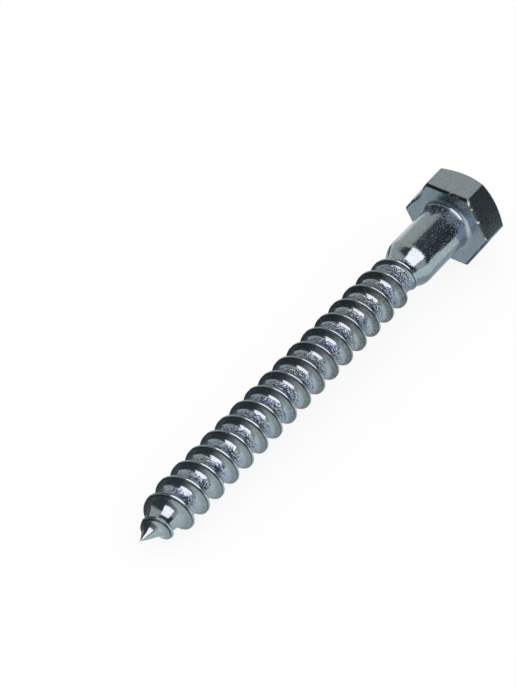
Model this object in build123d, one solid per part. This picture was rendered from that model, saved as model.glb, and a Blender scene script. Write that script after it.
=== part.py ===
from build123d import *

import math
import os

# A hex lag screw of zinc-plated steel, 8 by 80 mm, in millimetres.
#
# The screw is made along its own axis first: +X runs from the bearing face towards the point,
# and angles about the axis start at +Y and turn towards +Z. It is then tipped to lie on a
# floor, on the bearing edge of one flat of the head and on one crest near the point.
# The origin stays at the middle of the bearing face, and +Z is up.

# ---- Driving dimensions ----

# Lengths along the axis, from the bearing face.
screw_length = 80.0
shank_length = 10.0
shoulder_length = 3.2

# Hexagon head.
across_flats = 12.7
head_height = 5.5
top_face_diameter = 11.3
chamfer_angle = 33.0
bearing_edge_radius = 0.45
under_head_radius = 0.7

# Smooth shank and thread.
shank_diameter = 7.75
thread_diameter = 7.7
root_diameter = 5.6
thread_pitch = 3.69
crest_width = 0.3
thread_angle = 60.0
foot_angle = 130.0          # of the shallow slope that leads from the root to the flank
foot_height = 0.32          # of that slope over the root
crest_angle = 22.0          # where the crest stands, about the axis, at the end of the screw

# Run-out of the thread towards the shank.
run_out_start = 0.2         # past the end of the shank
run_out_length = 7.2

# Gimlet point.
point_length = 10.0         # over which the core narrows to nothing
crest_taper_length = 9.0    # over which the crest narrows
thread_end_gap = 1.4        # from the point to where the thread begins
thread_end_fade = 1.3

# Mark that the trimming die leaves in the bearing edge of one flat.
mark_flat = 2
mark_width = 4.9
mark_depth = 0.75
mark_height = 0.65
mark_offset = -0.4          # along the edge, from the middle of the flat

# ---- Worked out from them ----

shank_radius = shank_diameter / 2
root_radius = root_diameter / 2
crest_radius_full = thread_diameter / 2
flat_radius = across_flats / 2
corner_radius = flat_radius / math.cos(math.radians(30))
flank_slope = math.tan(math.radians(thread_angle / 2))
foot_slope = math.tan(math.radians(foot_angle / 2))
ridge_height_full = crest_radius_full - root_radius
shoulder_end = shank_length + shoulder_length
thread_start = shank_length + run_out_start / 2
thread_end = screw_length - thread_end_gap

# The ridge of the thread reaches this far into the core, so that the two join, and where it
# fades out its crest lies this far below the surface.
buried_depth = 0.15
sunk_crest = 0.1
points_per_turn = 12


def smooth_step(value):
    """Go smoothly from 0 to 1 as the value goes from 0 to 1."""
    value = min(max(value, 0.0), 1.0)
    return value * value * (3 - 2 * value)


def taper(distance, length):
    """Share of the full radius at a distance from the point: an arched taper, then 1."""
    return 1 - (1 - min(max(distance / length, 0.0), 1.0)) ** 2


def core_radius(x):
    """Radius of the screw's core: the shank, the shoulder, the root and the point."""
    if x < screw_length - point_length:
        step = smooth_step((x - shank_length) / shoulder_length)
        return shank_radius + (root_radius - shank_radius) * step
    return root_radius * taper(screw_length - x, point_length)


def crest_radius(x):
    """Radius of the thread's crest, which sinks under the core's surface at both ends."""
    core = core_radius(x)
    rise = smooth_step((x - shank_length - run_out_start) / run_out_length)
    fade = smooth_step((screw_length - x - thread_end_gap) / thread_end_fade)
    full = crest_radius_full * taper(screw_length - x, crest_taper_length)
    risen = root_radius + (full - root_radius) * rise
    faded = core - sunk_crest + (risen - core + sunk_crest) * fade
    return max(faded, core - sunk_crest)


def crest_place(turn):
    """Place along the axis, and angle about it, of the crest after a number of turns."""
    x = thread_start + thread_pitch * turn
    return x, crest_angle + 360 * (x - screw_length) / thread_pitch


def around(x, radius, angle):
    """Point at a radius and an angle about the axis."""
    return Vector(x, radius * math.cos(math.radians(angle)), radius * math.sin(math.radians(angle)))


def ridge_corner(turn, side, level):
    """Corner of the ridge's section on one side (-1 or 1).

    The level is 0 for the base, which is buried in the core, 1 for the bend between the
    shallow foot and the flank, and 2 for the crest."""
    x, angle = crest_place(turn)
    crest = crest_radius(x)
    base = core_radius(x) - buried_depth
    bend = base + (crest - base) * (buried_depth + foot_height) / (buried_depth + ridge_height_full)
    flank_run = (crest - bend) * flank_slope
    foot_run = (bend - base) * foot_slope
    if level == 2:
        return around(x + side * crest_width / 2, crest, angle)
    if level == 1:
        return around(x + side * (crest_width / 2 + flank_run), bend, angle)
    foot = x + side * (crest_width / 2 + flank_run + foot_run)
    sunk = min(core_radius(foot) - buried_depth, base)
    return around(foot, max(sunk, 0.08), angle)


def ridge_edge(start, end, side, level):
    """One stretch of a corner's helix, with its true direction at both ends."""
    count = max(3, round(points_per_turn * (end - start)) + 1)
    turns = [start + (end - start) * i / (count - 1) for i in range(count)]
    nudge = 0.002
    tangents = [
        ridge_corner(turn + nudge, side, level) - ridge_corner(turn - nudge, side, level)
        for turn in (start, end)
    ]
    return Edge.make_spline(
        [ridge_corner(turn, side, level) for turn in turns],
        tangents=[tangent.normalized() for tangent in tangents],
    )


def ridge_piece(start, end):
    """A stretch of the thread's ridge, between two numbers of turns, as a closed solid."""
    corners = [(-1, 0), (-1, 1), (-1, 2), (1, 2), (1, 1), (1, 0)]
    edges = [ridge_edge(start, end, side, level) for side, level in corners]
    faces = [Face.make_surface_from_curves(edge, edges[i - 1]) for i, edge in enumerate(edges)]
    for turn in (start, end):
        loop = [ridge_corner(turn, side, level) for side, level in corners]
        faces.append(Face(Wire.make_polygon(loop, close=True)))
    return Solid(Shell(faces))


def threaded(body):
    """The body with the ridge of the thread joined on, one half turn after another."""
    total = (thread_end - thread_start) / thread_pitch
    count = 2 * int(total)
    for i in range(count):
        body = body + ridge_piece(total * i / count, total * (i + 1) / count)
    return body


def core():
    """Shank, shoulder, root and point, turned about the axis."""
    shoulder = Spline((shank_length, shank_radius), (shoulder_end, root_radius),
                      tangents=[(1, 0), (1, 0)])
    cone_steps = 8
    point_profile = [
        (screw_length - point_length * (1 - i / cone_steps),
         root_radius * taper(point_length * (1 - i / cone_steps), point_length))
        for i in range(cone_steps + 1)
    ]
    outline = [
        Line((-head_height / 2, 0), (-head_height / 2, shank_radius)),
        Line((-head_height / 2, shank_radius), (shank_length, shank_radius)),
        shoulder,
        Line((shoulder_end, root_radius), point_profile[0]),
        Spline(*point_profile),
        Line(point_profile[-1], (-head_height / 2, 0)),
    ]
    return revolve(make_face(outline), Axis.X)


def head():
    """Hexagon head with its chamfered top, broken bearing edges and the fillet under it."""
    hexagon = RegularPolygon(corner_radius, 6)
    block = Plane.YZ * extrude(hexagon, -head_height)
    block = fillet(block.faces().sort_by(Axis.X)[-1].edges(), bearing_edge_radius)
    top_radius = top_face_diameter / 2
    reach = corner_radius + 1
    run = (reach - top_radius) * math.tan(math.radians(chamfer_angle))
    profile = Polyline(
        (-head_height, 0), (-head_height, top_radius), (run - head_height, reach),
        (1, reach), (1, 0), close=True,
    )
    return block & revolve(make_face(profile), Axis.X)


def under_head_fillet():
    """Ring that fills the corner between the bearing face and the shank."""
    outer = shank_radius + under_head_radius
    outline = [
        Line((0, outer), (-bearing_edge_radius, outer)),
        Line((-bearing_edge_radius, outer), (-bearing_edge_radius, shank_radius / 2)),
        Line((-bearing_edge_radius, shank_radius / 2), (under_head_radius, shank_radius / 2)),
        Line((under_head_radius, shank_radius / 2), (under_head_radius, shank_radius)),
        RadiusArc((under_head_radius, shank_radius), (0, outer), under_head_radius),
    ]
    return revolve(make_face(outline), Axis.X)


def die_mark():
    """Tool that cuts the crescent in one bearing edge: a cone that stands beside the flat."""
    radius = ((mark_width / 2) ** 2 + mark_depth ** 2) / (2 * mark_depth)
    cone = Cone(radius - mark_depth, radius, mark_height,
                align=(Align.CENTER, Align.CENTER, Align.MAX))
    place = Plane(origin=(0, flat_radius + radius - mark_depth, mark_offset), z_dir=(1, 0, 0))
    return Rot(X=30 + 60 * mark_flat) * (place * cone)


def resting_tilt():
    """Angle by which the axis dips towards the point when the screw lies on a floor."""
    angles = []
    turns = int((thread_end - thread_start) / thread_pitch)
    for turn in range(turns + 1):
        lowest = screw_length + thread_pitch * ((-90 - crest_angle) / 360 - turn)
        drop = flat_radius - crest_radius(lowest)
        angles.append(math.degrees(math.atan2(drop, lowest + bearing_edge_radius)))
    return min(angles)


def lag_screw():
    """The whole screw as one solid, lying at rest."""
    body = threaded(core()) + head() + under_head_fillet() - die_mark()
    return Rot(Y=resting_tilt()) * body


os.makedirs("parts", exist_ok=True)
screw = lag_screw()
export_step(screw, "parts/lag_screw.step")
print("tilt", round(resting_tilt(), 3), "solids", len(screw.solids()), "volume", round(screw.volume, 1))
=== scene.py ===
import math

import bpy
import numpy as np
from mathutils import Matrix, Vector

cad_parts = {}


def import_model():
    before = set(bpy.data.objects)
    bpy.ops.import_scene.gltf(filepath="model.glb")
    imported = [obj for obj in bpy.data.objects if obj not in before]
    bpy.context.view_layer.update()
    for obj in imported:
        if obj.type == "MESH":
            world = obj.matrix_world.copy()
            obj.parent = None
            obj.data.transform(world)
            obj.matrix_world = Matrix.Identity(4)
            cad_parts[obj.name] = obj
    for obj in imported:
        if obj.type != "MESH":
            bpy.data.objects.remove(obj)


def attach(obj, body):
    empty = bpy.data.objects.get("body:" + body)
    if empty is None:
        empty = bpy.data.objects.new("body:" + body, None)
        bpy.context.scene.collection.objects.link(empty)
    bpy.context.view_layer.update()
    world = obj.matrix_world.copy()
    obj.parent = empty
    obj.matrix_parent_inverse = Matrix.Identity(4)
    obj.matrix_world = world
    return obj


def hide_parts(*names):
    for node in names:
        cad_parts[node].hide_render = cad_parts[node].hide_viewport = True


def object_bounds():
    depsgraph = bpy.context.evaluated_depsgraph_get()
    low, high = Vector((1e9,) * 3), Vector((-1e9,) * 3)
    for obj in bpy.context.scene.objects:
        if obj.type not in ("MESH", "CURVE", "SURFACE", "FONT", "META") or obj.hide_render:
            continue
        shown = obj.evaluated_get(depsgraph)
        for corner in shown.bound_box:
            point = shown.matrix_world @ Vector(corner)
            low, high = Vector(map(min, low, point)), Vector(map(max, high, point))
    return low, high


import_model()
cad_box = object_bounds()

MM = 0.001

# ---- The screw's sizes, in millimetres: x runs along its axis from the bearing face ----

SCREW_LENGTH = 80.0
SHANK_LENGTH = 10.0
SHOULDER_LENGTH = 3.2
SHOULDER_END = SHANK_LENGTH + SHOULDER_LENGTH
POINT_LENGTH = 10.0
SHANK_RADIUS = 3.875

# Head: a chamfered hexagon with a plain top face and a rounded bearing edge.
ACROSS_FLATS = 12.7
FLAT_RADIUS = ACROSS_FLATS / 2
SECTOR = 60
HALF_SECTOR = math.radians(SECTOR / 2)
HEAD_HEIGHT = 5.5
TOP_FACE_RADIUS = 5.65
CHAMFER_SLOPE = math.tan(math.radians(33))
BEARING_EDGE = 0.45
CORNER_ROUND = 0.2
UNDER_HEAD_RADIUS = 0.7

# Thread: flanks that bend to a flatter foot, and a crest with a shallow seam along it.
CREST_RADIUS = 3.85
ROOT_RADIUS = 2.8
THREAD_DEPTH = CREST_RADIUS - ROOT_RADIUS
PITCH = 3.69
CREST_HALF = 0.25
CREST_ANGLE = 22.0
CREST_ROUND = 0.04
FLANK_SLOPE = 1 / math.tan(math.radians(30))
FOOT_SLOPE = math.tan(math.radians(25))
FOOT_HEIGHT = 0.32
FOOT_ROUND = 0.08
ROOT_ROUND = 0.12
ROOT_ROUND_SHARE = 0.7
LEAST_ROUND = 1e-4
LEAST_RIDGE = 1e-3
SEAM_HALF = 0.23
SEAM_DEPTH = 0.095

# The seam and the lines beside it grow in as the crest's height passes from the first to the second.
SEAM_RISE = (0.2, 0.6)

# Ends of the thread: it rises from the shank's end on, and tapers and fades at the point.
RUN_OUT_START = 0.2
RUN_OUT_LENGTH = 7.2
CREST_TAPER = 9.0
END_GAP = 1.4
END_FADE = 1.3

# Crescent left by the trimming die in one bearing edge; the angle is around the axis.
MARK_ANGLE = 150.0
MARK_WIDTH = 4.9
MARK_DEPTH = 0.75
MARK_HEIGHT = 0.65
MARK_OFFSET = -0.4

# The axis dips this much towards the point as the screw rests.
TILT = math.radians(1.999)

# ---- The mesh's grid, in millimetres where it is a length ----

COLUMNS = 120
SHANK_RINGS = 14

# How strongly the head's columns crowd at its corners, and the rings beside its chamfer's edges.
CORNER_CROWDING = 0.9
EDGE_STEP = 0.012

# The spiral grid starts at least this far before the shank's end, and ends this far before the
# point. Where it narrows there, its lines past the knee, a share of its width, move together.
SHORTEST_LEAD = 1
SPIRAL_END_GAP = 0.4
SPIRAL_KNEE = 0.64

# The mesh's point stops this short of the screw's length.
POINT_TRIM = 0.01

# Rings of the head and the point: radii, shares of the way across, or degrees around a rounding.
TOP_RING_RADII = (1.2, 2.4, 3.6, 4.7, 5.3, TOP_FACE_RADIUS - 0.12)
CHAMFER_SHARES = (0.08, 0.25, 0.45, 0.65, 0.82, 0.94)
SIDE_SHARES = (0.02, 0.1, 0.3, 0.5, 0.7, 0.88, 0.97, 1.0)
EDGE_TURNS = (22.5, 45, 67.5, 90)
BEARING_SHARES = (0.06, 0.12, 0.18, 0.24, 0.3, 0.36, 0.45, 0.6, 0.8, 0.93, 1.0)
FILLET_TURNS = (15, 30, 45, 60, 75, 90)
POINT_SHARES = (0.35, 0.6, 0.8, 0.92)

# Distances from the crest of the spiral grid's lines.
HALF_PROFILE = [0.06, 0.1, 0.13, 0.16, 0.2, 0.26, 0.36, 0.46, 0.54, 0.62, 0.74, 0.9, 1.05, 1.2,
                1.45]

# ---- Where the masks lie: a pair is a range over which a mask comes or goes ----

# Along the axis, in millimetres from the bearing face.
THREAD_BEGINS = (SHOULDER_END - 1, SHOULDER_END + 1)
POINT_BEGINS = (SCREW_LENGTH - 9, SCREW_LENGTH - 6.5)
PITS_FADE = (50, 68)
FLANKS_BEGIN = (SHANK_LENGTH + 2, SHANK_LENGTH + 8)
FLANKS_FADE = (25, 70)
SHANK_BEGINS = (0.3, 0.6)
SHANK_ENDS = (SHANK_LENGTH + 0.2, SHANK_LENGTH + 1)
SCUFF_BEGINS = (0.2, 0.8)
SCUFF_ENDS = (1.6, 3.6)
HEAD_ENDS = 0.3
# Where the fillet's painted highlight lies along the axis.
FILLET_BEGINS = (-0.02, 0.02)
FILLET_ENDS = 0.5
# Where the bearing edge's painted shade and painted glints lie along the axis.
EDGE_SHADE_BEGINS = (-0.42, -0.34)
EDGE_SHADE_END = 0.01

# Out from the axis, for the fillet's painted highlight, and in from the hexagon's side, for the
# bearing edge's painted shade, in millimetres.
FILLET_RADII = (4.0, 4.15)
EDGE_SHADE_INSET = (0.25, 0.4)

# Up the thread, as shares of its depth.
ROOT_ENDS = (0.04, 0.16)
FLANK_RISE = (0.1, 0.5)

# Shares by which the pits, flanks and dots fade towards the point, and the dots' share elsewhere
# than on the shank.
PITS_FADE_SHARE = 0.5
FLANKS_FADE_SHARE = 0.6
DOTS_FADE_SHARE = 0.9
DOTS_OFF_SHANK = 0.25

# Across a crest, in millimetres towards the point, each with the range where it ends.
# The dark line is painted shade along each crest.
DARK_LINE_OFFSET = 0.14
DARK_LINE_ENDS = (0.1, 0.17)
# The strip is a painted highlight beside the crest's dark line.
STRIP_OFFSET = -0.12
STRIP_ENDS = (0.08, 0.14)

# ---- The zinc ----

# Colours.
ZINC_DARK = (0.295, 0.38, 0.405)
ZINC_PALE = (0.37, 0.45, 0.48)
ROOT_VIOLET = (0.37, 0.47, 0.66)
SCUFF_VIOLET = (0.38, 0.43, 0.66)
# Painted highlight: a pale tint that brightens the fillet ring's reflection.
FILLET_PAINTED_HIGHLIGHT = (0.58, 0.66, 0.70)
# Painted shade and painted glints on the rounded bearing edge: a near-black tint that darkens its
# reflection, and bright dots.
EDGE_PAINTED_SHADE = (0.03, 0.035, 0.04)
EDGE_PAINTED_GLINT = (0.8, 0.85, 0.87)
# Painted shade: a dark tint over the upper part of the thread, lighter towards the point.
FLANK_PAINTED_SHADE = (0.12, 0.138, 0.138)
# Painted highlight: a pale tint that brightens the line beside each crest.
STRIP_PAINTED_HIGHLIGHT = (0.56, 0.76, 0.84)
# Dark tint for the nicks, scratches and specks, and for the painted shade along each crest.
NICKS_AND_SHADE_DARK = (0.05, 0.055, 0.065)

# Shares of each tint where its mask is whole.
VIOLET_IN_ROOT = 0.75
VIOLET_ANYWHERE = 0.08
SCUFF_SHARE = 0.35
FILLET_HIGHLIGHT_SHARE = 0.5
EDGE_SHADE_SHARE = 0.85
STRIP_HIGHLIGHT_SHARE = 0.35
ROOT_SPOTS_SHARE = 0.5
SCRATCH_SHARE = 0.7
SPECKS_SHARE = 0.45
CREST_SHADE_SHARE = 0.9

# Least and greatest share of the painted shade on the flanks.
FLANK_SHADE_RANGE = (0.45, 1.0)

# Least and greatest roughness of the bare plating, and the roughness that each mask adds.
GLOSS = (0.07, 0.15)
ADDED_ROUGHNESS = {"head": 0.12, "scuff": 0.1, "flank": 0.17}

# Depths of the bumps, in metres, and their strengths.
PIT_DEPTH = 0.0005
PITS_ANYWHERE = 0.013
DOT_DEPTH = 0.00003
DOTS_STRENGTH = 0.4
DOTS_IN_SCUFF = 1.5
GRAIN_DEPTH = 0.00002
GRAIN_ANYWHERE = 0.2
GRAIN_ON_HEAD = 0.4

# ---- The studio, in metres, degrees and colours ----

SCREW_MIDDLE = 0.038
WHITE = (1.0, 1.0, 1.0, 1)

# The softbox's corners lie across and upward from its centre.
SOFTBOX_AZIMUTH = 90
SOFTBOX_ELEVATION = 62
SOFTBOX_DISTANCE = 0.6
SOFTBOX_CORNERS = ((-0.08, -0.34), (0.45, -0.36), (0.35, 0.42), (-0.19, 0.35))
SOFTBOX_COLOR = (1.0, 0.85, 0.85)
SOFTBOX_STRENGTH = 2.5

ROOM_RADIUS = 2.0
ROOM_LOWEST = -6
ROOM_COLUMNS = 180
ROOM_ROWS = 72
ROOM_PALE = (0.66, 0.615, 0.59)
ROOM_RIGHT = (0.078, 0.085, 0.098)
ROOM_BACK = (0.08, 0.083, 0.10)
ROOM_SIDE = (0.055, 0.06, 0.085)

# The room's dark parts begin and end at these x and y of a direction, and at these angles:
# azimuth for the right, elevation for the right's upper part and the side, roll for the back.
RIGHT_X = (-0.2, 0.0)
RIGHT_BEGINS = (-92, -78)
RIGHT_ENDS = (-5, 30)
UPPER_RIGHT_X = (0.1, 0.3)
UPPER_RIGHT_BEGINS = (12, 24)
UPPER_RIGHT_SHARE = 0.74
BACK_X = (-0.4, -0.28)
BACK_BEGINS = (0, 4)
BACK_ENDS = (96, 115)
SIDE_X = (-0.2, 0.1)
SIDE_Y = (0, 0.3)
SIDE_BEGINS = (0, 3)
SIDE_ENDS = (30, 40)

# The floor's glow, as shares, to the camera and in reflections.
FLOOR_HALF = 3.0
FLOOR_SEEN_GLOW = 0.88
FLOOR_MIRRORED_GLOW = 0.25

# Outlines of the sheets of painted shade on the floor, which only reflections see, by x and y, and
# of the flag, by x and z.
SHEET_LIFT = 0.0003
SHADE_SHEET_BESIDE = ((0.016, -0.0055), (0.016, -0.022), (-0.005, -0.022),
              (-0.005, -0.5), (0.5, -0.5), (0.5, -0.0055))
SHADE_BESIDE_COLOR = (0.13, 0.14, 0.15)
SHADE_SHEET_UNDER = ((0.016, 0.009), (-0.005, 0.009), (-0.005, -0.022), (0.016, -0.022))
SHADE_UNDER_COLOR = (0.48, 0.51, 0.54)
FLAG_Y = 0.02
FLAG_CORNERS = ((-0.007, -0.001), (-0.035, -0.001), (-0.035, 0.016), (-0.007, 0.016))
FLAG_COLOR = (0.05, 0.053, 0.06)

CAMERA_AIM = (0.040997, -0.00636, 0.002594)
CAMERA_AZIMUTH = 33.645
CAMERA_ELEVATION = 40.058
CAMERA_DISTANCE = 0.6454
CAMERA_LENS = 313.95
SENSOR_WIDTH = 36
CLIP_END = 100


# ---- Shape of the surface ----

def smooth_step(value):
    value = np.clip(value, 0, 1)
    return value * value * (3 - 2 * value)


def rise(value, low, high):
    """Go smoothly from 0 to 1 as the value goes from low to high."""
    return smooth_step((value - low) / (high - low))


def fall(value, low, high):
    """Go smoothly from 1 to 0 as the value goes from low to high."""
    return 1 - rise(value, low, high)


def taper(distance, length):
    """Round off an end: 0 at distance 0, 1 from the length on."""
    return 1 - (1 - np.clip(distance / length, 0, 1)) ** 2


def soft_min(a, b, width):
    """The lesser of two values, rounded where they are within the width of each other."""
    gap = np.maximum(width - np.abs(a - b), 0)
    return np.minimum(a, b) - gap * gap / (4 * width)


def core_radius(x):
    """Radius of the shank, shoulder, root and point, without the thread."""
    step = smooth_step((x - SHANK_LENGTH) / SHOULDER_LENGTH)
    body = SHANK_RADIUS + (ROOT_RADIUS - SHANK_RADIUS) * step
    point = ROOT_RADIUS * taper(SCREW_LENGTH - x, POINT_LENGTH)
    return np.where(x < SCREW_LENGTH - POINT_LENGTH, body, point)


def ridge_height(x):
    """Height of the crest over the core, nought where the thread has faded out."""
    risen = smooth_step((x - SHANK_LENGTH - RUN_OUT_START) / RUN_OUT_LENGTH)
    fade = smooth_step((SCREW_LENGTH - x - END_GAP) / END_FADE)
    full = CREST_RADIUS * taper(SCREW_LENGTH - x, CREST_TAPER)
    crest = ROOT_RADIUS + (full - ROOT_RADIUS) * risen
    return np.maximum(crest - core_radius(x), 0) * fade


def crest_offset(x, angle):
    """Distance along the axis from the nearest turn's crest, positive towards the point."""
    turns = (x - SCREW_LENGTH) / PITCH + (CREST_ANGLE - angle) / 360
    return (turns - np.round(turns)) * PITCH


def surface_radius(x, angle):
    """Radius of the screw's surface at x and an angle in degrees, with the thread's ridge."""
    offset = crest_offset(x, angle)
    away = np.abs(offset)
    height = ridge_height(x - offset)
    flank = height - FLANK_SLOPE * (away - CREST_HALF)
    bend_height = height * FOOT_HEIGHT / THREAD_DEPTH
    bend = CREST_HALF + (height - bend_height) / FLANK_SLOPE
    foot = bend_height - FOOT_SLOPE * (away - bend)
    flank = -soft_min(-flank, -foot, FOOT_ROUND * 2)
    seam = SEAM_DEPTH * np.clip(1 - away / SEAM_HALF, 0, 1) * rise(height, *SEAM_RISE)
    ridge = soft_min(height - seam, flank, CREST_ROUND * 2)
    width = np.maximum(np.minimum(ROOT_ROUND, ROOT_ROUND_SHARE * height), LEAST_ROUND) * 2
    ridge = -soft_min(-ridge, np.zeros_like(ridge), width)
    return core_radius(x) + np.where(height > LEAST_RIDGE, ridge, 0)


def hexagon_radius(angle):
    """Distance from the axis to the hexagon's side, whose corners are slightly rounded."""
    from_corner = np.radians(np.abs((angle + SECTOR / 2) % SECTOR - SECTOR / 2))
    side = FLAT_RADIUS / np.cos(HALF_SECTOR - from_corner)
    centre = (FLAT_RADIUS - CORNER_ROUND) / math.cos(HALF_SECTOR)
    inside = np.maximum(CORNER_ROUND ** 2 - (centre * np.sin(from_corner)) ** 2, 0)
    arc = centre * np.cos(from_corner) + np.sqrt(inside)
    tangent = math.atan2(CORNER_ROUND * 0.5, centre + CORNER_ROUND * math.cos(HALF_SECTOR))
    return np.where(from_corner < tangent, arc, side)


def mark_drop(radius, angle):
    """Depth along the axis of the crescent in the bearing edge, nought outside it."""
    rho = ((MARK_WIDTH / 2) ** 2 + MARK_DEPTH ** 2) / (2 * MARK_DEPTH)
    turned = np.radians(angle - MARK_ANGLE)
    away = np.hypot(radius * np.cos(turned) - (FLAT_RADIUS + rho - MARK_DEPTH),
                    radius * np.sin(turned) - MARK_OFFSET)
    return np.clip((rho - away) * MARK_HEIGHT / MARK_DEPTH, 0, None)


# ---- Mesh ----

class Skin:
    """Collects points and faces of the screw's closed surface."""

    def __init__(self):
        self.points = []
        self.faces = []

    def add(self, x, radius, angle):
        turned = math.radians(angle)
        self.points.append((x, radius * math.cos(turned), radius * math.sin(turned)))
        return len(self.points) - 1

    def ring(self, xs, radii, angles):
        """A closed ring of points; xs and radii may each be one number for the whole ring."""
        xs, radii = np.broadcast_to(xs, len(angles)), np.broadcast_to(radii, len(angles))
        return [self.add(x, r, a) for x, r, a in zip(xs, radii, angles)]

    def face(self, *corners):
        """A face without its repeated corners, if three or more are left."""
        kept = []
        for corner in corners:
            if corner not in kept:
                kept.append(corner)
        if len(kept) > 2:
            self.faces.append(kept)

    def bridge(self, low, high):
        """Faces between two rings."""
        for i in range(len(low)):
            j = (i + 1) % len(low)
            self.face(low[i], low[j], high[j], high[i])


def column_angles():
    """Even angles for the shank and thread, and for the head angles that crowd at its corners."""
    even = np.arange(COLUMNS) * 360 / COLUMNS
    share = (even % SECTOR) / SECTOR
    crowded = even - SECTOR * CORNER_CROWDING * np.sin(2 * math.pi * share) / (2 * math.pi)
    return even, crowded


def head_rings(skin):
    """Top face, chamfer, sides, bearing face and under-head fillet; returns the last ring."""
    even, crowded = column_angles()
    outline = hexagon_radius(crowded)
    top = skin.add(-HEAD_HEIGHT, 0, 0)
    rings = []
    for radius in TOP_RING_RADII:
        rings.append(skin.ring(-HEAD_HEIGHT, radius, crowded))
    rings.append(skin.ring(-HEAD_HEIGHT + EDGE_STEP, TOP_FACE_RADIUS, crowded))
    for share in CHAMFER_SHARES:
        radius = TOP_FACE_RADIUS + (outline - TOP_FACE_RADIUS) * share
        x = -HEAD_HEIGHT + (radius - TOP_FACE_RADIUS) * CHAMFER_SLOPE
        rings.append(skin.ring(x, radius, crowded))
    edge_x = -HEAD_HEIGHT + (outline - TOP_FACE_RADIUS) * CHAMFER_SLOPE
    rings.append(skin.ring(edge_x + EDGE_STEP, outline - EDGE_STEP, crowded))
    low = -BEARING_EDGE - mark_drop(outline, crowded)
    for share in SIDE_SHARES:
        rings.append(skin.ring(edge_x + (low - edge_x) * share, outline, crowded))
    for turn in EDGE_TURNS:
        lean = math.radians(turn)
        radius = outline - BEARING_EDGE * (1 - math.cos(lean))
        x = -BEARING_EDGE * (1 - math.sin(lean)) - mark_drop(radius, crowded)
        rings.append(skin.ring(x, radius, crowded))
    inner = SHANK_RADIUS + UNDER_HEAD_RADIUS
    outer = outline - BEARING_EDGE
    for share in BEARING_SHARES:
        radius = outer + (inner - outer) * share
        angles = crowded + (even - crowded) * smooth_step(share)
        rings.append(skin.ring(-mark_drop(radius, angles), radius, angles))
    for turn in FILLET_TURNS:
        lean = math.radians(turn)
        x = UNDER_HEAD_RADIUS * (1 - math.cos(lean))
        rings.append(skin.ring(x, inner - UNDER_HEAD_RADIUS * math.sin(lean), even))
    for i in range(COLUMNS):
        skin.face(top, rings[0][(i + 1) % COLUMNS], rings[0][i])
    for low_ring, high_ring in zip(rings, rings[1:]):
        skin.bridge(low_ring, high_ring)
    return rings[-1]


def profile_shares():
    """Places of the grid's lines across one pitch, crowded at the crest and the foot."""
    places = [-d for d in reversed(HALF_PROFILE)] + [0.0] + HALF_PROFILE
    return [0.0] + [0.5 + d / PITCH for d in places] + [1.0]


def thread_start():
    """Place of the flat ring on the shank from which the spiral grid grows."""
    start = SCREW_LENGTH - PITCH * CREST_ANGLE / 360 + PITCH / 2
    while start > SHANK_LENGTH - SHORTEST_LEAD:
        start -= PITCH
    return start


def thread_strip(skin, first_ring, start):
    """Spiral grid over the shank's end, the thread and the point, as a strip one pitch wide.

    The strip grows from nothing over its first turn and shrinks to nothing over its last.
    Returns the ring that it ends in, the ring's angles and the ring's place."""
    shares = profile_shares()
    last_row = len(shares) - 1
    end = SCREW_LENGTH - SPIRAL_END_GAP
    count = COLUMNS + round((end - start) / PITCH * COLUMNS)
    end = start + PITCH * (count - COLUMNS) / COLUMNS
    end_angles = [(i * 360 / COLUMNS) % 360 for i in range(COLUMNS)]
    end_ring = skin.ring(end, core_radius(end), end_angles)
    rows = []
    for k in range(count + 1):
        angle = k * 360 / COLUMNS
        low = start + PITCH * (k - COLUMNS) / COLUMNS
        width = min(PITCH, end - low)
        bend = SPIRAL_KNEE * width
        xs = []
        for share in shares:
            if k < COLUMNS:
                xs.append(start + share * PITCH * k / COLUMNS)
            elif share * PITCH <= bend:
                xs.append(low + share * PITCH)
            else:
                xs.append(low + bend + (share * PITCH - bend) * (width - bend) / (PITCH - bend))
        radii = surface_radius(np.array(xs), angle)
        row = []
        for m, x in enumerate(xs):
            if m == 0:
                row.append(first_ring[k] if k < COLUMNS else rows[k - COLUMNS][last_row])
            elif k == 0:
                row.append(first_ring[0])
            elif k == count or (m == last_row and k >= count - COLUMNS):
                row.append(end_ring[k % COLUMNS])
            else:
                row.append(skin.add(x, radii[m], angle))
        rows.append(row)
    for k in range(count):
        for m in range(last_row):
            skin.face(rows[k][m], rows[k + 1][m], rows[k + 1][m + 1], rows[k][m + 1])
    return end_ring, end_angles, end


def screw_mesh():
    """The whole closed surface: head, shank rings, spiral strip, point rings and point."""
    skin = Skin()
    even = column_angles()[0]
    ring = head_rings(skin)
    start = thread_start()
    for i in range(1, SHANK_RINGS + 1):
        x = UNDER_HEAD_RADIUS + (start - UNDER_HEAD_RADIUS) * i / SHANK_RINGS
        following = skin.ring(x, SHANK_RADIUS, even)
        skin.bridge(ring, following)
        ring = following
    ring, angles, end = thread_strip(skin, ring, start)
    for share in POINT_SHARES:
        x = end + (SCREW_LENGTH - end) * share
        following = skin.ring(x, core_radius(x), angles)
        skin.bridge(ring, following)
        ring = following
    point = skin.add(SCREW_LENGTH - POINT_TRIM, 0, 0)
    for i in range(COLUMNS):
        skin.face(ring[i], ring[(i + 1) % COLUMNS], point)
    return skin


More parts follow.
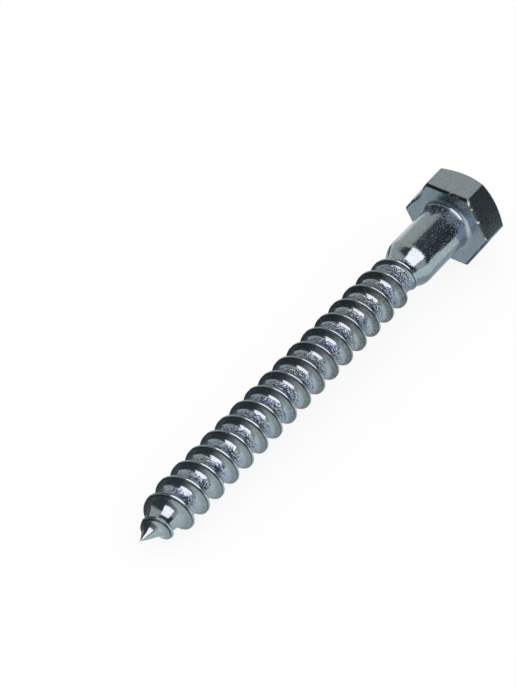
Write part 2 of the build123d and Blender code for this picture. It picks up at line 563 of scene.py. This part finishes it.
def surface_masks(points):
    """Shares from 0 to 1, by name, of what the zinc material puts at each point."""
    x = points[:, 0]
    around = np.hypot(points[:, 1], points[:, 2])
    angles = np.degrees(np.arctan2(points[:, 2], points[:, 1]))
    height = np.clip((around - core_radius(x)) / THREAD_DEPTH, 0, 1)
    near_point = rise(x, *POINT_BEGINS)
    root = rise(x, *THREAD_BEGINS) * (1 - near_point) * fall(height, *ROOT_ENDS)
    ridged = rise(ridge_height(x), *SEAM_RISE) * (x > SHANK_LENGTH)
    offset = crest_offset(x, angles)
    inset = hexagon_radius(angles) - around
    flanks = rise(x, *FLANKS_BEGIN) * rise(height, *FLANK_RISE)
    on_shank = rise(x, *SHANK_BEGINS) * fall(x, *SHANK_ENDS)
    dotted = DOTS_OFF_SHANK + (1 - DOTS_OFF_SHANK) * on_shank
    return {
        "root": root,
        "pitted": root * (1 - PITS_FADE_SHARE * rise(x, *PITS_FADE)),
        "head": (x < HEAD_ENDS) * 1.0,
        # Painted shade in a dark line along each crest.
        "crest": fall(np.abs(offset - DARK_LINE_OFFSET), *DARK_LINE_ENDS) * ridged,
        # Painted highlight in a strip beside each crest.
        "strip": fall(np.abs(offset - STRIP_OFFSET), *STRIP_ENDS) * ridged,
        "scuff": rise(x, *SCUFF_BEGINS) * fall(x, *SCUFF_ENDS),
        # Painted highlight on the fillet ring.
        "fillet": rise(x, *FILLET_BEGINS) * (x < FILLET_ENDS) * rise(around, *FILLET_RADII),
        # Painted shade and painted glints on the bearing edge.
        "edge": rise(x, *EDGE_SHADE_BEGINS) * (x < EDGE_SHADE_END) * fall(inset, *EDGE_SHADE_INSET),
        # Painted shade on the upper part of the thread, which also adds roughness there.
        "flank": flanks * (1 - FLANKS_FADE_SHARE * rise(x, *FLANKS_FADE)),
        "dotted": dotted * (1 - DOTS_FADE_SHARE * near_point),
    }


def build_screw():
    """The screw as one mesh, lying as it rests, with its masks as attributes."""
    skin = screw_mesh()
    local = np.array(skin.points)
    lying = np.array(Matrix.Rotation(TILT, 3, "Y"))
    points = (local * MM) @ lying.T
    mesh = bpy.data.meshes.new("lag_screw_finish")
    mesh.from_pydata([tuple(p) for p in points], [], skin.faces)
    mesh.validate()
    mesh.polygons.foreach_set("use_smooth", [True] * len(mesh.polygons))
    for name, values in surface_masks(local).items():
        layer = mesh.attributes.new(name, "FLOAT", "POINT")
        layer.data.foreach_set("value", np.asarray(values, dtype=np.float32))
    piece = bpy.data.objects.new("lag_screw_finish", mesh)
    bpy.context.scene.collection.objects.link(piece)
    return piece


# ---- Materials ----

class Nodes:
    """A new material with short names for building its node tree."""

    def __init__(self, name):
        self.material = bpy.data.materials.new(name)
        self.material.use_nodes = True
        self.tree = self.material.node_tree
        self.tree.nodes.clear()

    def add(self, kind, **settings):
        node = self.tree.nodes.new(kind)
        for name, value in settings.items():
            setattr(node, name, value)
        return node

    def link(self, source, target):
        self.tree.links.new(source, target)

    def give(self, socket, value):
        """Set a socket to a number or colour, or link it to another socket."""
        if isinstance(value, (int, float)):
            socket.default_value = value
        elif isinstance(value, tuple):
            socket.default_value = (*value, 1)
        else:
            self.link(value, socket)

    def finish(self, surface):
        """Link the surface's shader to the material's output and return the material."""
        output = self.add("ShaderNodeOutputMaterial")
        self.link(surface, output.inputs["Surface"])
        return self.material

    def math(self, operation, *values):
        node = self.add("ShaderNodeMath", operation=operation)
        for socket, value in zip(node.inputs, values):
            self.give(socket, value)
        return node.outputs[0]

    def times(self, a, b):
        return self.math("MULTIPLY", a, b)

    def plus(self, a, b):
        return self.math("ADD", a, b)

    def larger(self, a, b):
        return self.math("MAXIMUM", a, b)

    def blend(self, share, low, high):
        """Mix two colours, by a share of the second."""
        node = self.add("ShaderNodeMix", data_type="RGBA")
        self.give(node.inputs["Factor"], share)
        self.give(node.inputs["A"], low)
        self.give(node.inputs["B"], high)
        return node.outputs["Result"]

    def mask(self, name):
        """One of the masks from surface_masks."""
        return self.add("ShaderNodeAttribute", attribute_name=name).outputs["Fac"]

    def noise(self, vector, scale, detail, rough, distortion=0.0):
        node = self.add("ShaderNodeTexNoise")
        node.inputs["Scale"].default_value = scale
        node.inputs["Detail"].default_value = detail
        node.inputs["Roughness"].default_value = rough
        node.inputs["Distortion"].default_value = distortion
        self.link(vector, node.inputs["Vector"])
        return node.outputs["Fac"]

    def spread(self, value, low, high, to_low=0.0, to_high=1.0):
        """Go smoothly from to_low to to_high as the value goes from low to high."""
        node = self.add("ShaderNodeMapRange", interpolation_type="SMOOTHSTEP")
        node.inputs["From Min"].default_value = low
        node.inputs["From Max"].default_value = high
        node.inputs["To Min"].default_value = to_low
        node.inputs["To Max"].default_value = to_high
        self.link(value, node.inputs["Value"])
        return node.outputs["Result"]


def zinc_color(n, place, root, head):
    """Colour of the plating at a place, with its stains and nicked parts, and painted highlights,
    painted glints and painted shade.
    """
    # Blue-grey zinc in soft blotches, with violet patches that are strongest in the roots.
    patches = n.noise(place, scale=260, detail=2, rough=0.5)
    blotch = n.spread(n.noise(place, scale=2300, detail=5, rough=0.7), 0.34, 0.64)
    tinted = n.blend(blotch, ZINC_DARK, ZINC_PALE)
    violet = n.plus(n.times(root, VIOLET_IN_ROOT), VIOLET_ANYWHERE)
    violet = n.times(n.spread(patches, 0.3, 0.62), violet)
    tinted = n.blend(violet, tinted, ROOT_VIOLET)

    # Scuffed shank next to the head, a painted highlight on the fillet, and painted shade with
    # painted glints on the bearing edge.
    tinted = n.blend(n.times(n.mask("scuff"), SCUFF_SHARE), tinted, SCUFF_VIOLET)
    tinted = n.blend(n.times(n.mask("fillet"), FILLET_HIGHLIGHT_SHARE), tinted, FILLET_PAINTED_HIGHLIGHT)
    painted_glints = n.spread(n.noise(place, scale=1500, detail=2, rough=0.5), 0.58, 0.66)
    edge_shade_and_glints = n.blend(painted_glints, EDGE_PAINTED_SHADE, EDGE_PAINTED_GLINT)
    tinted = n.blend(n.times(n.mask("edge"), EDGE_SHADE_SHARE), tinted, edge_shade_and_glints)

    # Painted shade darkening the flanks, and a painted highlight in a pale strip beside each crest's
    # dark line.
    cloud = n.noise(place, scale=1500, detail=5, rough=0.7)
    flank_shade = n.spread(cloud, 0.3, 0.7, *FLANK_SHADE_RANGE)
    tinted = n.blend(n.times(n.mask("flank"), flank_shade), tinted, FLANK_PAINTED_SHADE)
    tinted = n.blend(n.times(n.mask("strip"), STRIP_HIGHLIGHT_SHARE), tinted, STRIP_PAINTED_HIGHLIGHT)

    # Dark spots and scratches in the roots, specks on the head, and painted shade in a dark line
    # along each crest.
    root_spots = n.spread(n.noise(place, scale=2300, detail=3, rough=0.6), 0.56, 0.7)
    nicks = n.times(root_spots, n.times(root, ROOT_SPOTS_SHARE))
    contour = n.noise(place, scale=520, detail=1, rough=0.5)
    contour = n.math("ABSOLUTE", n.math("SUBTRACT", contour, 0.5))
    scratch = n.times(n.spread(contour, 0.015, 0.04, 1.0, 0.0), n.spread(patches, 0.5, 0.56))
    nicks = n.larger(nicks, n.times(scratch, n.times(root, SCRATCH_SHARE)))
    specks = n.spread(n.noise(place, scale=4200, detail=2, rough=0.6), 0.58, 0.7)
    nicks = n.larger(nicks, n.times(specks, n.times(head, SPECKS_SHARE)))
    # Painted shade along the crests, together with the nicks.
    shade_and_nicks = n.larger(n.times(n.mask("crest"), CREST_SHADE_SHARE), nicks)
    return n.blend(shade_and_nicks, tinted, NICKS_AND_SHADE_DARK)


def zinc_roughness(n, place):
    """Finely grained gloss, duller on the head, the scuffed shank and the flanks."""
    grain = n.noise(place, scale=3500, detail=3, rough=0.6)
    rough = n.spread(grain, 0.3, 0.75, *GLOSS)
    for name, share in ADDED_ROUGHNESS.items():
        rough = n.plus(rough, n.times(n.mask(name), share))
    return rough


def zinc_normal(n, place, head):
    """Pits in the roots, fine dots on the shank and a grain over all, as bumps."""
    pits = n.noise(place, scale=2000, detail=2, rough=0.55, distortion=0.3)
    pit_strength = n.plus(n.mask("pitted"), PITS_ANYWHERE)
    dots = n.spread(n.noise(place, scale=4500, detail=1, rough=0.5), 0.58, 0.7)
    dot_strength = n.times(n.mask("dotted"), DOTS_STRENGTH)
    dot_strength = n.plus(dot_strength, n.times(n.mask("scuff"), DOTS_IN_SCUFF))
    grain = n.noise(place, scale=9000, detail=2, rough=0.5)
    grain_strength = n.plus(n.times(head, GRAIN_ON_HEAD), GRAIN_ANYWHERE)
    normal = None
    for height_map, depth, strength in ((pits, PIT_DEPTH, pit_strength),
                                        (dots, DOT_DEPTH, dot_strength),
                                        (grain, GRAIN_DEPTH, grain_strength)):
        bump = n.add("ShaderNodeBump")
        bump.inputs["Distance"].default_value = depth
        n.link(strength, bump.inputs["Strength"])
        n.link(height_map, bump.inputs["Height"])
        if normal is not None:
            n.link(normal, bump.inputs["Normal"])
        normal = bump.outputs["Normal"]
    return normal


def zinc_material():
    """Zinc-plated steel, from the masks and a few noises."""
    n = Nodes("zinc_plated_steel")
    place = n.add("ShaderNodeTexCoord").outputs["Object"]
    head = n.mask("head")
    shader = n.add("ShaderNodeBsdfPrincipled")
    shader.inputs["Metallic"].default_value = 1.0
    n.link(zinc_color(n, place, n.mask("root"), head), shader.inputs["Base Color"])
    n.link(zinc_roughness(n, place), shader.inputs["Roughness"])
    n.link(zinc_normal(n, place, head), shader.inputs["Normal"])
    return n.finish(shader.outputs[0])


def glow_material(name, color, strength):
    """Even light of one colour."""
    n = Nodes(name)
    glow = n.add("ShaderNodeEmission")
    glow.inputs["Color"].default_value = (*color, 1)
    glow.inputs["Strength"].default_value = strength
    return n.finish(glow.outputs[0])


def room_material():
    """Glow in the colours of the dome's attribute."""
    n = Nodes("surround")
    glow = n.add("ShaderNodeEmission")
    room = n.add("ShaderNodeAttribute", attribute_name="room").outputs["Color"]
    n.link(room, glow.inputs["Color"])
    return n.finish(glow.outputs[0])


def floor_material():
    """White paper that also glows: to the camera, so it stays white, and in reflections."""
    n = Nodes("floor")
    paper = n.add("ShaderNodeBsdfDiffuse")
    paper.inputs["Color"].default_value = WHITE
    white = n.add("ShaderNodeEmission")
    white.inputs["Color"].default_value = WHITE
    path = n.add("ShaderNodeLightPath")
    seen = n.times(path.outputs["Is Camera Ray"], FLOOR_SEEN_GLOW)
    mirrored = n.times(path.outputs["Is Glossy Ray"], FLOOR_MIRRORED_GLOW)
    mix = n.add("ShaderNodeMixShader")
    n.link(n.larger(seen, mirrored), mix.inputs["Fac"])
    n.link(paper.outputs[0], mix.inputs[1])
    n.link(white.outputs[0], mix.inputs[2])
    return n.finish(mix.outputs[0])


# ---- Studio ----

def direction(azimuth, elevation):
    """Unit vector towards an azimuth and elevation in degrees."""
    a, e = math.radians(azimuth), math.radians(elevation)
    return Vector((math.cos(e) * math.cos(a), math.cos(e) * math.sin(a), math.sin(e)))


def sheet_mesh(name, corners, material):
    """A mesh of one flat face."""
    mesh = bpy.data.meshes.new(name)
    mesh.from_pydata([tuple(c) for c in corners], [], [range(len(corners))])
    mesh.materials.append(material)
    return mesh


def reflected_only(name, mesh):
    """Add a piece of the studio that only mirror reflections see."""
    piece = bpy.data.objects.new(name, mesh)
    bpy.context.scene.collection.objects.link(piece)
    piece.visible_camera = False
    piece.visible_diffuse = False
    piece.visible_shadow = False
    piece.visible_transmission = False
    piece.visible_volume_scatter = False


def card(name, corners, color, strength=1.0):
    """A flat glowing card that only reflections see."""
    reflected_only(name, sheet_mesh(name, corners, glow_material(name, color, strength)))


def softbox():
    """The overhead softbox, as a card that faces the screw."""
    toward = direction(SOFTBOX_AZIMUTH, SOFTBOX_ELEVATION)
    across = Vector((1, 0, 0))
    upward = toward.cross(across)
    centre = Vector((SCREW_MIDDLE, 0, 0)) + toward * SOFTBOX_DISTANCE
    corners = [centre + across * sx + upward * sy for sx, sy in SOFTBOX_CORNERS]
    card("softbox", corners, SOFTBOX_COLOR, SOFTBOX_STRENGTH)


def room_color(x, y, z):
    """Colour of the room in a direction, as the metal reflects it: pale, with three dark parts."""
    roll = np.degrees(np.arctan2(z, y))
    azimuth = np.degrees(np.arctan2(y, x))
    elevation = np.degrees(np.arcsin(np.clip(z, -1, 1)))
    right = rise(x, *RIGHT_X) * rise(azimuth, *RIGHT_BEGINS) * fall(azimuth, *RIGHT_ENDS)
    upper_right = rise(x, *UPPER_RIGHT_X) * rise(elevation, *UPPER_RIGHT_BEGINS)
    right = np.maximum(right, UPPER_RIGHT_SHARE * upper_right)
    back = fall(x, *BACK_X) * rise(roll, *BACK_BEGINS) * fall(roll, *BACK_ENDS)
    side = fall(x, *SIDE_X) * rise(y, *SIDE_Y)
    side = side * rise(elevation, *SIDE_BEGINS) * fall(elevation, *SIDE_ENDS)
    color = np.zeros(x.shape + (3,)) + ROOM_PALE
    for share, dark in ((right, ROOM_RIGHT), (back, ROOM_BACK), (side, ROOM_SIDE)):
        color += (np.array(dark) - color) * share[..., None]
    return color


def surround():
    """A dome that stands for the room around the screw; only reflections see it."""
    turn = np.radians(np.arange(ROOM_COLUMNS) * 360 / ROOM_COLUMNS)
    lift = np.radians(ROOM_LOWEST + (90 - ROOM_LOWEST) * np.arange(ROOM_ROWS + 1) / ROOM_ROWS)
    a, e = np.meshgrid(turn, lift)
    x, y, z = np.cos(e) * np.cos(a), np.cos(e) * np.sin(a), np.sin(e)
    points = np.stack([SCREW_MIDDLE + ROOM_RADIUS * x, ROOM_RADIUS * y, ROOM_RADIUS * z], -1)
    faces = []
    for i in range(ROOM_ROWS):
        low, high = i * ROOM_COLUMNS, (i + 1) * ROOM_COLUMNS
        for j in range(ROOM_COLUMNS):
            k = (j + 1) % ROOM_COLUMNS
            faces.append((low + j, low + k, high + k, high + j))
    mesh = bpy.data.meshes.new("surround")
    mesh.from_pydata([tuple(p) for p in points.reshape(-1, 3)], [], faces)
    color = np.concatenate([room_color(x, y, z), np.ones(x.shape + (1,))], -1)
    layer = mesh.attributes.new("room", "FLOAT_COLOR", "POINT")
    layer.data.foreach_set("color", color.ravel().astype(np.float32))
    mesh.materials.append(room_material())
    reflected_only("surround", mesh)


def floor_shade_sheet(name, outline, color):
    """A flat sheet of painted shade just above the floor, which only reflections see."""
    level = cad_box[0][2] + SHEET_LIFT
    card(name, [(x, y, level) for x, y in outline], color)


def dark_flag():
    """A dark card beside the head, which its lower front flat reflects."""
    card("dark_flag", [(x, FLAG_Y, z) for x, z in FLAG_CORNERS], FLAG_COLOR)


def floor():
    """White sheet under the screw, which takes its shadow."""
    level = cad_box[0][2]
    corners = [(x * FLOOR_HALF, y * FLOOR_HALF, level)
               for x, y in ((-1, -1), (1, -1), (1, 1), (-1, 1))]
    piece = bpy.data.objects.new("floor", sheet_mesh("floor", corners, floor_material()))
    bpy.context.scene.collection.objects.link(piece)


def world():
    """Even white light from all around, and plain view settings."""
    studio = bpy.data.worlds.new("studio")
    bpy.context.scene.world = studio
    studio.use_nodes = True
    background = studio.node_tree.nodes["Background"]
    background.inputs["Color"].default_value = WHITE
    background.inputs["Strength"].default_value = 1.0
    bpy.context.scene.view_settings.view_transform = "Standard"


def camera():
    """The main view."""
    data = bpy.data.cameras.new("camera")
    data.sensor_fit = "HORIZONTAL"
    data.sensor_width = SENSOR_WIDTH
    data.lens = CAMERA_LENS
    data.clip_end = CLIP_END
    piece = bpy.data.objects.new("camera", data)
    bpy.context.scene.collection.objects.link(piece)
    back = direction(CAMERA_AZIMUTH, CAMERA_ELEVATION)
    piece.location = Vector(CAMERA_AIM) + back * CAMERA_DISTANCE
    piece.rotation_euler = back.to_track_quat("Z", "Y").to_euler()
    bpy.context.scene.camera = piece


# ---- The scene ----

screw = build_screw()
screw.data.materials.append(zinc_material())
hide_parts("lag_screw")
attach(screw, "root")
floor()
world()
camera()
softbox()
surround()
# Painted shade on the floor beside the screw, seen only in reflections.
floor_shade_sheet("painted_shade_beside", SHADE_SHEET_BESIDE, SHADE_BESIDE_COLOR)
# Painted shade on the floor under the head and shank, seen only in reflections.
floor_shade_sheet("painted_shade_under", SHADE_SHEET_UNDER, SHADE_UNDER_COLOR)
dark_flag()

bpy.context.view_layer.update()
